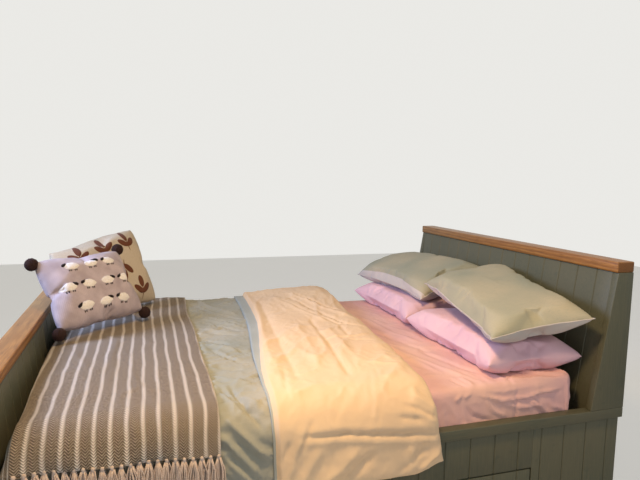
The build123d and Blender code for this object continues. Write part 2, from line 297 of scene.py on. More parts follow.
def knotted_yarn(name, colour, shade):
    """Twisted wool yarn: matt, with a soft halo."""
    material, shader, node = new_material(name, 0.95, 0.1, sheen=0.08, sheen_roughness=0.7)
    fibre = 3.2 * MM
    place = node("TexCoord", out="Object")
    sockets = {"Vector": place, "Scale": 1 / fibre, "Detail": 4.0, "Roughness": 0.7}
    fibres = node("TexNoise", sockets)
    tint = stain(node, colour, shade, fibres, 0.35, 0.7)
    finish_surface(shader, tint, fibres, 0.5 * MM)
    return material


def fine_knit(name, colour, shade):
    """Fine wool knit: columns of small V stitches with painted shade between them, read from the
    cushion's own layout.
    """
    material, shader, node = new_material(name, 0.9, 0.15, sheen=0.1, sheen_roughness=0.7)
    stitch_width, stitch_height, column_gap = 6.6 * MM, 4.8 * MM, 0.7 * MM
    v_slope = 0.9
    patch_size = 60 * MM
    layout = node("UVMap", uv_map="flat")
    across = node("SeparateXYZ", {0: layout}, out="X")
    up = node("SeparateXYZ", {0: layout}, out="Y")
    column = node("Math", {0: across, 1: stitch_width / 2}, operation="PINGPONG")
    lifted = node("Math", {0: column, 1: v_slope, 2: up}, operation="MULTIPLY_ADD")
    row = node("Math", {0: lifted, 1: stitch_height / 2}, operation="PINGPONG")
    row_share = node("MapRange", {"Value": row, "From Max": stitch_height / 2})
    gap = node("MapRange", {"Value": column, "From Max": column_gap})
    stitches = node("Math", {0: row_share, 1: gap}, operation="MULTIPLY")
    patches = node("TexNoise", {"Vector": layout, "Scale": 1 / patch_size, "Detail": 4.0})
    tint = stain(node, colour, shade, patches, 0.35, 0.7)
    # Painted shade: darker between the stitches and between their columns.
    tint = stain(node, tint, shade, stitches, 0.6, 0.0)
    finish_surface(shader, tint, stitches, 0.8 * MM)
    return material


def oatmeal_weave(name):
    """Heavy oatmeal linen with open threads that show, and painted shade between them."""
    material, shader, node = new_material(name, 0.9, 0.15, sheen=0.06, sheen_roughness=0.6)
    thread, slub = 2.6 * MM, 7 * MM
    layout = node("UVMap", uv_map="flat")
    threads = woven(node, layout, thread)
    sockets = {"Vector": layout, "Scale": 1 / slub, "Detail": 4.0, "Roughness": 0.7}
    slubs = node("TexNoise", sockets)
    tint = stain(node, "#DDD2BE", "#C9BDA6", slubs, 0.35, 0.7)
    # Painted shade: darker between the threads.
    tint = stain(node, tint, "#B2A48C", threads, 0.6, 0.0)
    height = node("Math", {0: threads, 1: slubs}, operation="ADD")
    finish_surface(shader, tint, height, 0.5 * MM)
    return material


def cut_wool(name, colour, shade):
    """Clipped wool pile: dense and dull, with dark gaps between the tufts that are painted shade."""
    material, shader, node = new_material(name, 1.0, 0.05, sheen=0.06, sheen_roughness=0.8)
    tuft = 2.6 * MM
    place = node("TexCoord", out="Object")
    gaps = node("TexVoronoi", {"Vector": place, "Scale": 1 / tuft})
    # Painted shade: darker in the gaps between the tufts.
    tint = stain(node, colour, shade, gaps, 0.1, 0.7)
    height = node("Math", {0: 1.0, 1: gaps}, operation="SUBTRACT")
    finish_surface(shader, tint, height, 1.4 * MM)
    return material


paint_upright = eggshell_paint("sage_eggshell_on_boards", 2)
paint_long = eggshell_paint("sage_eggshell_on_rails", 0)
paint_across = eggshell_paint("sage_eggshell_across", 1)
oak_across = oiled_oak("oiled_oak_cap", 1)
oak_end = sawn_end_grain("oiled_oak_end_grain")
pine_long = planed_softwood("planed_pine_long", 0)
pine_across = planed_softwood("planed_pine_across", 1)
pine_upright = planed_softwood("planed_pine_upright", 2)
plywood = birch_plywood("birch_plywood")
# The third colour of each cotton is the painted highlight on its raised creases.
pink_percale = washed_cotton("pink_cotton_sheet", "#EAC2AF", "#D9AEAE", "#F3D0C0", 5 * MM)
pink_case = washed_cotton("pink_cotton_pillowcase", "#EDC9CF", "#DDB8C6", "#F7DEE2", 5 * MM)
sage_case = washed_cotton("sage_cotton_pillowcase", "#B9B197", "#929888", "#C4BCA0", slub=0.4)
case_reverse = washed_cotton("pale_cotton_reverse", "#CDC5BE", "#BAB6B2", "#DCD5CE")
sage_cotton = washed_cotton("sage_cotton_cover", "#AFAA98", "#979B90", "#BEB7A4", slub=0.5)
cream_cotton = washed_cotton("cream_cotton_reverse", "#EDD0AA", "#E1C4A1", "#F2D9B8")
hem_cotton = washed_cotton("blue_grey_cotton_hem", "#A9B0AB", "#9CA4A1", "#B8BEB8", 1.5 * MM)
throw_cloth = herringbone_throw("herringbone_wool_throw")
fringe_yarn = knotted_yarn("cream_fringe_yarn", "#E0D0C2", "#BFA795")
# The second colour of the knit is its random tone and the painted shade between its stitches; the
# second colour of each cut wool is the painted shade between its tufts.
lilac_knit = fine_knit("taupe_lilac_knit", "#CDC0C4", "#A3969B")
oatmeal_linen = oatmeal_weave("oatmeal_linen")
pompom_wool = cut_wool("brown_pompom_wool", "#4A2F2A", "#231513")
fleece_wool = cut_wool("cream_fleece_wool", "#FCFAF6", "#DFD9D1")
dark_felt = knotted_yarn("black_brown_felt", "#2A2120", "#171211")
print_brown = knotted_yarn("brown_applique", "#6B3F28", "#532E1C")


# Ways of working: every solid is begun as a primitive and shaped by hand

def leave_all():
    """Object mode, with nothing selected."""
    if bpy.context.object and bpy.context.object.mode != "OBJECT":
        bpy.ops.object.mode_set(mode="OBJECT")
    bpy.ops.object.select_all(action="DESELECT")


def take(*pieces):
    """Select these pieces and make the first one active."""
    leave_all()
    for piece in pieces:
        piece.select_set(True)
    bpy.context.view_layer.objects.active = pieces[0]
    return pieces[0]


@contextmanager
def editing(piece):
    """Work on a piece in edit mode, with everything selected, and come back out of it."""
    take(piece)
    bpy.ops.object.mode_set(mode="EDIT")
    bpy.ops.mesh.select_all(action="SELECT")
    yield bmesh.from_edit_mesh(piece.data)
    bpy.ops.object.mode_set(mode="OBJECT")


def settle(piece):
    """Move the piece's place, turn and scale into its mesh."""
    take(piece)
    bpy.ops.object.transform_apply(location=True, rotation=True, scale=True)
    return piece


def smooth(piece):
    """Shade the piece smooth all over."""
    take(piece)
    bpy.ops.object.shade_smooth()
    return piece


def face_outwards(piece, weld=0.0):
    """Weld points that are this close, turn every face outwards and shade it smooth."""
    with editing(piece):
        if weld:
            bpy.ops.mesh.remove_doubles(threshold=weld)
        bpy.ops.mesh.normals_make_consistent(inside=False)
    bpy.ops.object.shade_smooth()
    return piece


def rough_block(name, low, high):
    """A sawn block between two corners, the start of a board or a rail."""
    leave_all()
    low, high = Vector(low), Vector(high)
    bpy.ops.mesh.primitive_cube_add(size=1, location=(low + high) / 2)
    block = bpy.context.object
    block.name = name
    block.scale = high - low
    return settle(block)


def joined(name, parts):
    """Several parts made one mesh."""
    piece = take(*parts)
    bpy.ops.object.join()
    piece.name = name
    return piece


def nudge_points(piece, test, move):
    """Slide the points that pass the test."""
    with editing(piece) as mesh:
        bpy.ops.mesh.select_mode(type="VERT")
        for point in mesh.verts:
            point.select_set(bool(test(point.co)))
        mesh.select_flush_mode()
        bmesh.update_edit_mesh(piece.data)
        bpy.ops.transform.translate(value=move)


def use_modifier(piece, kind, **settings):
    """Add a modifier, set it and apply it."""
    take(piece)
    made = piece.modifiers.new(kind.lower(), kind)
    for name, value in settings.items():
        setattr(made, name, value)
    bpy.ops.object.modifier_apply(modifier=made.name)


sharp_edge = math.radians(60)


def ease_edges(piece, width=eased_edge, segments=2):
    """Plane the sharp edges off, and shade the flats flat and the rounds round."""
    use_modifier(
        piece, "BEVEL", width=width, segments=segments,
        limit_method="ANGLE", angle_limit=sharp_edge,
    )
    bpy.ops.object.shade_smooth_by_angle(angle=math.radians(35))
    return piece


def hand_in(piece, material, node, body=HERE):
    """Give the piece its finish, its body and the solid that it stands for."""
    if material is not None:
        piece.data.materials.clear()
        piece.data.materials.append(material)
    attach(piece, body)
    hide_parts(node)
    return piece


def joints_between(low, high, pitch, phase):
    """The board joints that fall between two ends, clear of the edges."""
    first = math.ceil((low - phase) / pitch)
    margin = 12 * MM
    places = []
    place = phase + first * pitch
    while place < high - margin:
        if place > low + margin:
            places.append(place)
        place += pitch
    return places


def cut_joints(piece, along, face, side, places):
    """Cut a V joint across the face at each place, square to the boards' row."""
    square = [0.0, 0.0, 0.0]
    square[along] = 1.0
    with editing(piece):
        for place in places:
            for offset in (-groove_half, -groove_floor, groove_floor, groove_half):
                point = [0.0, 0.0, 0.0]
                point[along] = place + offset
                bpy.ops.mesh.select_all(action="SELECT")
                bpy.ops.mesh.bisect(plane_co=point, plane_no=square)
    reach = [point.co[face] for point in piece.data.vertices]
    flat = max(reach) if side > 0 else min(reach)
    hair = 0.1 * MM

    def in_a_joint(place_of):
        near = min(abs(place_of[along] - place) for place in places)
        return near < groove_floor + hair and abs(place_of[face] - flat) < hair

    move = [0.0, 0.0, 0.0]
    move[face] = -side * groove_depth
    if places:
        nudge_points(piece, in_a_joint, move)


def boarding(name, low, high, along, face, side, pitch=board_pitch, phase=board_phase):
    """A run of upright boards with V joints on one face."""
    run = rough_block(name, low, high)
    cut_joints(run, along, face, side, joints_between(low[along], high[along], pitch, phase))
    return ease_edges(run)


# Joinery

def board_up(node, body, along, face, side, pitch=board_pitch, phase=board_phase):
    """Painted boarding in place of a solid."""
    run = boarding(f"{node}_jointed", *span(node), along, face, side, pitch, phase)
    hand_in(run, paint_upright, node, body=body)


def depth_of(node):
    """How thick a solid is from front to back."""
    low, high = span(node)
    return high.y - low.y


def front_boarding():
    for part in ("foot_side", "head_side", "middle", "over_drawers"):
        board_up(f"front_boards_{part}", HERE, 0, 1, -1)


def hidden_side_boarding():
    board_up("back_boards", HERE, 0, 1, 1)
    low, high = span("end_boards")
    thickness = depth_of("back_boards")
    head_low = Vector((high.x - thickness, low.y, low.z))
    foot_high = Vector((low.x + thickness, high.y, high.z))
    head = boarding("end_boards_head", head_low, high, 1, 0, 1)
    foot = boarding("end_boards_foot", low, foot_high, 1, 0, -1)
    run = joined("end_boards_jointed", [head, foot])
    hand_in(run, paint_upright, "end_boards")


def rails_and_plinths():
    for node, rounding in (
        ("front_rail", 3 * MM), ("back_rail", 3 * MM),
        ("front_plinth", 2 * MM), ("back_plinth", 2 * MM),
    ):
        board = ease_edges(rough_block(f"{node}_planed", *span(node)), rounding, 3)
        hand_in(board, paint_long, node)
    for node, like in (("end_rails", "back_rail"), ("end_plinths", "back_plinth")):
        low, high = span(node)
        width = depth_of(like)
        head = rough_block("head", (high.x - width, low.y, low.z), high)
        foot = rough_block("foot", low, (low.x + width, high.y, high.z))
        pair = ease_edges(joined(f"{node}_planed", [head, foot]), 2 * MM)
        hand_in(pair, paint_across, node)


def raked_end(name, side):
    """One raked end: its leaning boarded panel, two cheeks, flat back and oak cap."""
    thickness = depth_of("back_boards")
    cap_low, cap_high = span(f"{name}board_cap")
    room_edge = cap_low.x + cap_overhang if side > 0 else cap_high.x - cap_overhang
    low, high = span(f"{name}board_panel")
    lean = (high.x - low.x - thickness) * side
    start_low, start_high = low.copy(), high.copy()
    if side > 0:
        start_high.x = low.x + thickness
    else:
        start_low.x = high.x - thickness
    panel = rough_block(f"{name}board_panel_jointed", start_low, start_high)
    places = joints_between(low.y, high.y, head_board_pitch, head_board_phase)
    cut_joints(panel, 1, 0, -side, places)
    middle = (low.z + high.z) / 2
    nudge_points(panel, lambda at: at.z > middle, (lean, 0, 0))
    ease_edges(panel, 1 * MM)
    hand_in(panel, paint_upright, f"{name}board_panel")

    low, high = span(f"{name}board_cheeks")
    foot_x = low.x if side > 0 else high.x
    hair = 1 * MM
    cheeks = []
    for y in (low.y, high.y - cheek_thickness):
        cheek = rough_block("cheek", (low.x, y, low.z), (high.x, y + cheek_thickness, high.z))
        nudge_points(
            cheek,
            lambda at: at.z > middle and abs(at.x - foot_x) < hair,
            (room_edge - foot_x, 0, 0),
        )
        cheeks.append(cheek)
    cheeks = ease_edges(joined(f"{name}board_cheeks_planed", cheeks), 2.5 * MM, 3)
    hand_in(cheeks, paint_upright, f"{name}board_cheeks")

    board_up(f"{name}board_back", HERE, 1, 0, side, head_board_pitch, head_board_phase)
    oak_cap(f"{name}board_cap")


def oak_cap(node):
    """A planed oak cap with softly rounded edges and its own end grain."""
    cap = ease_edges(rough_block(f"{node}_oiled", *span(node)), cap_edge, 4)
    hand_in(cap, oak_across, node)
    cap.data.materials.append(oak_end)
    for face in cap.data.polygons:
        face.material_index = 1 if abs(face.normal.y) > 0.9 else 0


def drawer_fronts():
    for part, body in DRAWERS.items():
        board_up(f"drawer_front_{part}", body, 0, 1, -1)
        turned_knobs(part, body)


def turned_knobs(part, body):
    """A pair of turned oak knobs, each spun from one profile: the share of its radius and
    the share of its length at each point."""
    node = f"drawer_knobs_{part}"
    low, high = span(node)
    radius = (high.z - low.z) / 2
    length = high.y - low.y
    profile = [
        (0.5, 0.0), (0.56, 0.06), (0.44, 0.16), (0.4, 0.34), (0.5, 0.5),
        (0.84, 0.6), (1.0, 0.72), (0.97, 0.86), (0.78, 0.96), (0.4, 1.0), (0.0, 1.0),
    ]
    round_steps = 24
    knobs = []
    for x in (low.x + radius, high.x - radius):
        centre = Vector((x, 0, (low.z + high.z) / 2))
        leave_all()
        bpy.ops.mesh.primitive_plane_add(size=radius, location=(0, 0, 0))
        knob = bpy.context.object
        with editing(knob):
            bpy.ops.mesh.merge(type="CENTER")
            mesh = bmesh.from_edit_mesh(knob.data)
            mesh.verts.ensure_lookup_table()
            mesh.verts[0].co = centre + Vector((profile[0][0] * radius, high.y, 0))
            bmesh.update_edit_mesh(knob.data)
            for (across, out), (next_across, next_out) in zip(profile, profile[1:]):
                step = ((next_across - across) * radius, -(next_out - out) * length, 0)
                bpy.ops.mesh.extrude_region_move(TRANSFORM_OT_translate={"value": step})
            bpy.ops.mesh.select_all(action="SELECT")
            bpy.ops.mesh.spin(steps=round_steps, angle=2 * math.pi, center=centre, axis=(0, 1, 0))
            bpy.ops.mesh.select_all(action="SELECT")
            bpy.ops.mesh.remove_doubles(threshold=0.05 * MM)
            bpy.ops.mesh.select_all(action="DESELECT")
            bpy.ops.mesh.select_non_manifold()
            bpy.ops.mesh.edge_face_add()
            bpy.ops.mesh.select_all(action="SELECT")
            bpy.ops.mesh.normals_make_consistent(inside=False)
        knobs.append(settle(knob))
    pair = joined(f"{node}_turned", knobs)
    bpy.ops.object.shade_smooth_by_angle(angle=math.radians(50))
    hand_in(pair, oak_across, node, body=body)


def plain_carcass():
    """The sawn timber and plywood that keep their own solids."""
    timber = {
        "posts": pine_upright, "ledgers": pine_long, "deck_slats": pine_across,
        "drawer_runners": pine_across, "headboard_sole": paint_across,
        "footboard_sole": paint_across,
    }
    for part in DRAWERS:
        for piece in ("sides", "back", "bottom"):
            timber[f"drawer_{piece}_{part}"] = plywood
    for node, material in timber.items():
        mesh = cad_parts[node].data
        mesh.materials.clear()
        mesh.materials.append(material)


# Soft goods. Ripples and crumples have a size in metres and a seed each.

random.seed(7)


def smooth_step(low, high, value):
    """0 below low, 1 above high, and an eased ramp between."""
    share = min(max((value - low) / (high - low), 0.0), 1.0)
    return share * share * (3 - 2 * share)


def ripple(x, y, size, seed=0.0):
    """Smooth noise from -1 to 1 that changes over about this size."""
    return noise.noise(Vector((x / size, y / size, seed)))


def crease_lines(x, y, size, seed=0.0):
    """Thin raised creases that wander over smooth cloth, from 0 to 1."""
    away = abs(ripple(x, y, size, seed))
    strong = smooth_step(-0.25, 0.35, ripple(x, y, 2.1 * size, seed + 50))
    return strong * max(0.0, 1 - away / 0.3) ** 2


def crumple(x, y, size, seed=0.0):
    """Creases at three sizes, each finer than the last, from 0 to about 1."""
    warped_x = x + 0.3 * size * ripple(x, y, size * 1.3, seed + 1)
    warped_y = y + 0.3 * size * ripple(x, y, size * 1.3, seed + 2)
    total = 0.0
    for share, shrink in ((1.0, 1.0), (0.5, 0.55), (0.25, 0.31)):
        total += share * crease_lines(warped_x, warped_y, size * shrink, seed + 9 * shrink)
    return total


def turned(x, y, degrees):
    """The same place read in axes turned by this angle."""
    angle = math.radians(degrees)
    return x * math.cos(angle) + y * math.sin(angle), y * math.cos(angle) - x * math.sin(angle)


def path_over(low, high, bend, hem):
    """The way of a cloth that starts at the back of a box, runs level along its top and
    bends down over its front to a hem: its length, and a function that gives the Y, the
    Z and the outward direction at a run along it."""
    back, front, top = high.y, low.y, high.z
    level = abs(front + bend - back)
    arc = bend * math.pi / 2

    def at(run):
        if run < level:
            return back - run, top, 0.0, 1.0
        if run < level + arc:
            turn = (run - level) / bend
            y = front + bend - bend * math.sin(turn)
            return y, top - bend * (1 - math.cos(turn)), -math.sin(turn), math.cos(turn)
        return front, top - bend - (run - level - arc), -1.0, 0.0

    return back - front - bend + arc + top - bend - hem, at


def pressed(x, y, creases):
    """How far cloth rises or dips where creases were pressed into it. Each crease has its
    height, its half width and the points it runs through, in mm, and fades at its ends."""
    x, y = x / MM, y / MM
    rise = 0.0
    for height, half_width, *points in creases:
        reach = sum(math.dist(a, b) for a, b in zip(points, points[1:]))
        nearest, run_there, run = 2.0 * half_width, 0.0, 0.0
        for (start_x, start_y), (end_x, end_y) in zip(points, points[1:]):
            run_x, run_y = end_x - start_x, end_y - start_y
            length = math.hypot(run_x, run_y)
            share = ((x - start_x) * run_x + (y - start_y) * run_y) / length ** 2
            share = min(max(share, 0.0), 1.0)
            away = math.hypot(x - start_x - share * run_x, y - start_y - share * run_y)
            if away < nearest:
                nearest, run_there = away, run + share * length
            run += length
        if nearest < 2.0 * half_width:
            fade = min(0.3 * reach, 90.0)
            taper = smooth_step(0, fade, run_there) * smooth_step(reach, reach - fade, run_there)
            rise += height * taper * (1 - nearest / (2.0 * half_width)) ** 2
    return rise * MM


def along_marks(marks, run):
    """A smooth line through marks, each a run and a place in mm, read at a run in metres."""
    total = 0.0
    for weight, shift in ((1, -110), (2, 0), (1, 110)):
        at = run / MM + shift
        place = marks[-1][1] if at > marks[-1][0] else marks[0][1]
        for (run_a, place_a), (run_b, place_b) in zip(marks, marks[1:]):
            if run_a <= at <= run_b:
                place = place_a + (place_b - place_a) * (at - run_a) / (run_b - run_a)
        total += weight * place / 4
    return total * MM


def new_piece(name, verts, faces, layout=None):
    """A mesh object from places and faces, with its flat layout in metres if it has one."""
    mesh = bpy.data.meshes.new(name)
    mesh.from_pydata(verts, [], faces)
    piece = bpy.data.objects.new(name, mesh)
    bpy.context.collection.objects.link(piece)
    if layout:
        uv_map = mesh.uv_layers.new(name="flat")
        for loop in mesh.loops:
            uv_map.data[loop.index].uv = layout[loop.vertex_index]
    return piece


def grid_faces(columns, rows):
    """The four corners of each face of a grid of points, row by row."""
    for row in range(rows):
        for column in range(columns):
            start = row * (columns + 1) + column
            yield [start, start + 1, start + columns + 2, start + columns + 1]


def faces_of_both_sides(columns, rows):
    """Faces of a grid and of the like grid under it, which looks down, by turns."""
    size = (columns + 1) * (rows + 1)
    faces = []
    for quad in grid_faces(columns, rows):
        faces += [quad, [index + size for index in reversed(quad)]]
    return faces


def quilt(name, columns, rows, outer, rims):
    """A closed, soft-edged layer. outer(u, v) gives a place on its upper face, the
    outward direction and the thickness there. It rounds over within so many columns or
    rows of its four rims: foot, head, back and hem."""
    foot, head, back, hem = rims
    upper, lower = [], []
    for row in range(rows + 1):
        for column in range(columns + 1):
            place, outward, thickness = outer(column / columns, row / rows)
            share = min(column / foot, (columns - column) / head, row / back,
                        (rows - row) / hem, 1.0)
            slack = thickness / 2 * (1 - math.sqrt(1 - (1 - share) ** 2))
            upper.append(place - outward * slack)
            lower.append(place - outward * (thickness - slack))
    piece = new_piece(name, upper + lower, faces_of_both_sides(columns, rows))
    return face_outwards(piece, 0.02 * MM)


def cloth_pass(piece, pressure, spare, bending):
    """A short cloth simulation without gravity: the filling presses outwards and the
    cover, cut a little larger than its form, buckles into creases. No point moves
    further than the limit."""
    frames, furthest, stiffness = 20, 40 * MM, 12.0
    take(piece)
    start = [point.co.copy() for point in piece.data.vertices]
    made = piece.modifiers.new("cloth", "CLOTH")
    settings = made.settings
    settings.quality = 5
    settings.mass = 0.25
    settings.tension_stiffness = settings.compression_stiffness = stiffness
    settings.shear_stiffness = stiffness / 2
    settings.bending_stiffness = bending
    settings.tension_damping = settings.compression_damping = 8
    settings.air_damping = 3
    settings.shrink_min = -spare
    settings.use_pressure = True
    settings.uniform_pressure_force = pressure
    settings.effector_weights.gravity = 0
    made.collision_settings.use_collision = False
    made.point_cache.frame_start = 1
    made.point_cache.frame_end = frames
    for moment in range(1, frames + 1):
        bpy.context.scene.frame_set(moment)
    take(piece)
    bpy.ops.object.modifier_apply(modifier=made.name)
    for point, before in zip(piece.data.vertices, start):
        move = point.co - before
        if move.length > furthest:
            point.co = before + move * (furthest / move.length)
    bpy.context.scene.frame_set(1)


# The mattress in its fitted sheet

# Pulls in the sheet, in mm. On its side they are read along the bed and up.
sheet_side_creases = (
    (12, 6, (470, 800), (560, 776), (640, 764), (740, 774), (870, 792)),
    (-9, 7, (600, 756), (720, 762), (860, 780)), (10, 6, (425, 790), (475, 816)),
    (10, 6, (395, 778), (432, 816)), (8, 7, (510, 786), (560, 730), (620, 700)),
    (7, 6, (540, 780), (660, 735), (800, 725)), (-8, 8, (430, 770), (470, 720), (570, 690)),
    (-7, 6, (654, 830), (650, 620)), (7, 6, (700, 760), (790, 700), (830, 640)),
    (8, 7, (790, 730), (890, 690)), (10, 6, (872, 822), (888, 640)),
    (8, 8, (400, 710), (560, 650)), (-7, 10, (700, 745), (830, 650)),
    (7, 8, (560, 650), (700, 690)), (7, 6, (480, 820), (600, 800), (760, 812)),
)
sheet_top_creases = (
    (11, 11, (910, -705), (780, -640), (700, -560)), (9, 9, (910, -705), (700, -690)),
    (10, 11, (910, -705), (850, -560)), (-7, 8, (640, -705), (635, -540)),
    (8, 8, (480, -695), (470, -600)), (-8, 8, (450, -700), (430, -600)),
    (8, 15, (500, -640), (400, -300), (360, -150)), (-8, 13, (570, -600), (470, -240)),
    (8, 15, (430, -560), (340, -60)), (-8, 13, (520, -350), (400, 60)),
    (8, 14, (480, 0), (430, 360)), (9, 9, (780, -705), (600, -655)), (7, 12, (540, -200), (440, 100)),
)


def fitted_mattress():
    low, high = span("mattress")
    corner, edge, voxel = 38 * MM, 26 * MM, 7 * MM
    body = rough_block("mattress_in_sheet", low, high)

    def upright(ends):
        return abs(ends[0].co.z - ends[1].co.z) > edge

    def on_top(ends):
        return all(abs(end.co.z - high.z) < MM for end in ends)

    with editing(body):
        bpy.ops.mesh.select_mode(type="EDGE")
        for test, width, segments in ((upright, corner, 8), (on_top, edge, 5)):
            bpy.ops.mesh.select_all(action="DESELECT")
            mesh = bmesh.from_edit_mesh(body.data)
            for line in mesh.edges:
                line.select_set(test(line.verts))
            bmesh.update_edit_mesh(body.data)
            bpy.ops.mesh.bevel(offset=width, segments=segments)
    use_modifier(body, "REMESH", mode="VOXEL", voxel_size=voxel)
    use_modifier(body, "SMOOTH", factor=0.5, iterations=5)
    for point in body.data.vertices:
        at = point.co
        top_share = smooth_step(high.z - 45 * MM, high.z - 8 * MM, at.z)
        wobble = 6 * MM * ripple(at.x + at.y, at.y + at.z, 0.08, 7)
        across, along = turned(at.x, at.y, 28)
        top_rise = 3 * MM * ripple(at.x, at.y, 0.35, 1)
        top_rise += 5 * MM * crumple(across, along * 0.4, 0.13, 2)
        top_rise += pressed(at.x + wobble, at.y + wobble, sheet_top_creases)
        across, along = turned(at.x + 0.6 * at.y, at.z, 28)
        side = 5 * MM * crumple(across, along * 0.3, 0.07, 5) + 3 * MM * ripple(at.x, at.z, 0.2, 11)
        side += pressed(at.x + at.y - low.y + wobble, at.z + wobble, sheet_side_creases)
        side *= smooth_step(low.z, low.z + 40 * MM, at.z) * (1 - top_share)
        point.co.z += (top_rise - 4 * MM) * top_share
        if at.y < low.y + corner / 2:
            point.co.y -= side - 2 * MM
        if at.x > high.x - corner / 2:
            point.co.x += side - 1 * MM
    smooth(body)
    hand_in(body, pink_percale, "mattress")


# The duvet, its turned-down end and the throw

drape_bend = 62 * MM
fold_skew = math.tan(math.radians(5.3))

# Creases that show where the duvet comes out from under the throw, by their place
# along the bed and their run over the cloth from the back edge.
duvet_creases = (
    (-18, 9, (-415, 90), (-310, 325), (-180, 510)), (15, 12, (-370, 40), (-290, 250), (-180, 430)),
    (-14, 9, (-415, 250), (-330, 420), (-200, 560)), (12, 10, (-420, 300), (-300, 480), (-190, 590)),
    (-13, 8, (-400, 470), (-290, 600), (-210, 700)), (12, 11, (-385, 430), (-270, 560), (-200, 640)),
    (-13, 9, (-385, 670), (-240, 760)), (11, 11, (-400, 600), (-290, 700), (-230, 720)),
    (-13, 8, (-400, 780), (-290, 880)), (12, 12, (-400, 850), (-260, 970)),
    (-14, 9, (-390, 920), (-295, 1075), (-240, 1110)), (-11, 8, (-300, 930), (-210, 1010)),
    (-11, 9, (-400, 1120), (-280, 1175)), (12, 13, (-410, 1200), (-350, 1280), (-270, 1340)),
    (-17, 9, (-405, 1300), (-360, 1440), (-280, 1560)), (12, 10, (-400, 1350), (-345, 1480)),
    (-14, 9, (-370, 1300), (-335, 1470), (-275, 1520)), (10, 10, (-340, 1400), (-290, 1480)),
    (17, 11, (-428, 1470), (-370, 1535), (-305, 1600), (-255, 1645)),
    (-9, 9, (-425, 1520), (-345, 1595), (-260, 1680)),
    (12, 10, (-425, 1535), (-342, 1632), (-290, 1690)),
    (-8, 9, (-425, 1575), (-342, 1665), (-290, 1725)),
    (12, 10, (-420, 1600), (-342, 1680), (-290, 1740)),
    (-10, 9, (-420, 1650), (-330, 1740)), (12, 11, (-420, 1690), (-330, 1790)),
)


def duvet():
    low, high = span("duvet")
    plump = high.z - span("mattress")[1].z - 2 * MM
    back, front, top, hem = high.y, low.y, high.z, low.z
    length, path = path_over(low, high, drape_bend + plump, hem)
    under_throw = span("throw")[1].x
    foot_edge, head_back = low.x + 6 * MM, high.x - 60 * MM
    head_front = head_back + fold_skew * (front - back)
    columns, strip_from, strip_to = 150, 0.28, 0.78
    strip_start, strip_end = under_throw - 30 * MM, under_throw + 330 * MM

    def outer(u, v):
        flow = v * length
        y, z, out_y, out_z = path(flow)
        toward_front = min(max((back - y) / (back - front), 0.0), 1.0)
        head_edge = head_back + (head_front - head_back) * toward_front
        if u < strip_from:
            x = foot_edge + (strip_start - foot_edge) * u / strip_from
        elif u < strip_to:
            share = (u - strip_from) / (strip_to - strip_from)
            x = strip_start + (strip_end - strip_start) * share
        else:
            x = strip_end + (head_edge - strip_end) * (u - strip_to) / (1 - strip_to)
        hang = smooth_step(top - 60 * MM, hem, z)
        free = smooth_step(under_throw - 25 * MM, under_throw + 12 * MM, x)
        wobble = (7 - 4 * hang) * MM * ripple(x, flow, 0.09, 3)
        across, along = turned(x, flow, 62 - 24 * hang)
        rise = 6 * MM * ripple(x, flow, 0.33, 9)
        rise += free * (7 * MM + 8 * MM * ripple(x, flow, 0.16, 8))
        rise += free * 9 * MM * crumple(across, along * 0.4, 80 * MM, 4)
        rise += free * 5 * MM * crumple(across, along * 0.5, 38 * MM, 17)
        rise += free * pressed(x + wobble, flow + wobble, duvet_creases)
        gather = smooth_step(under_throw + 60 * MM, under_throw, x) * free * (1 - hang)
        rise += gather * 5 * MM * math.sin(flow * 150 + 7 * ripple(0, flow, 0.2, 6))
        rise += 6 * MM * math.sin(x * 17 + 2.2 * ripple(x, z, 0.5, 2)) * hang - 5 * MM * hang
        rise -= 7 * MM
        droop = 26 * MM * smooth_step(low.x + 0.16, low.x, x) * (1 - hang)
        place = Vector((x, y + out_y * rise, z + out_z * rise - droop))
        return place, Vector((0, out_y, out_z)), plump + rise

    cover = quilt("duvet_in_sage_cover", columns, 230, outer, (2, 2, 4, 4))
    hand_in(cover, sage_cotton, "duvet")


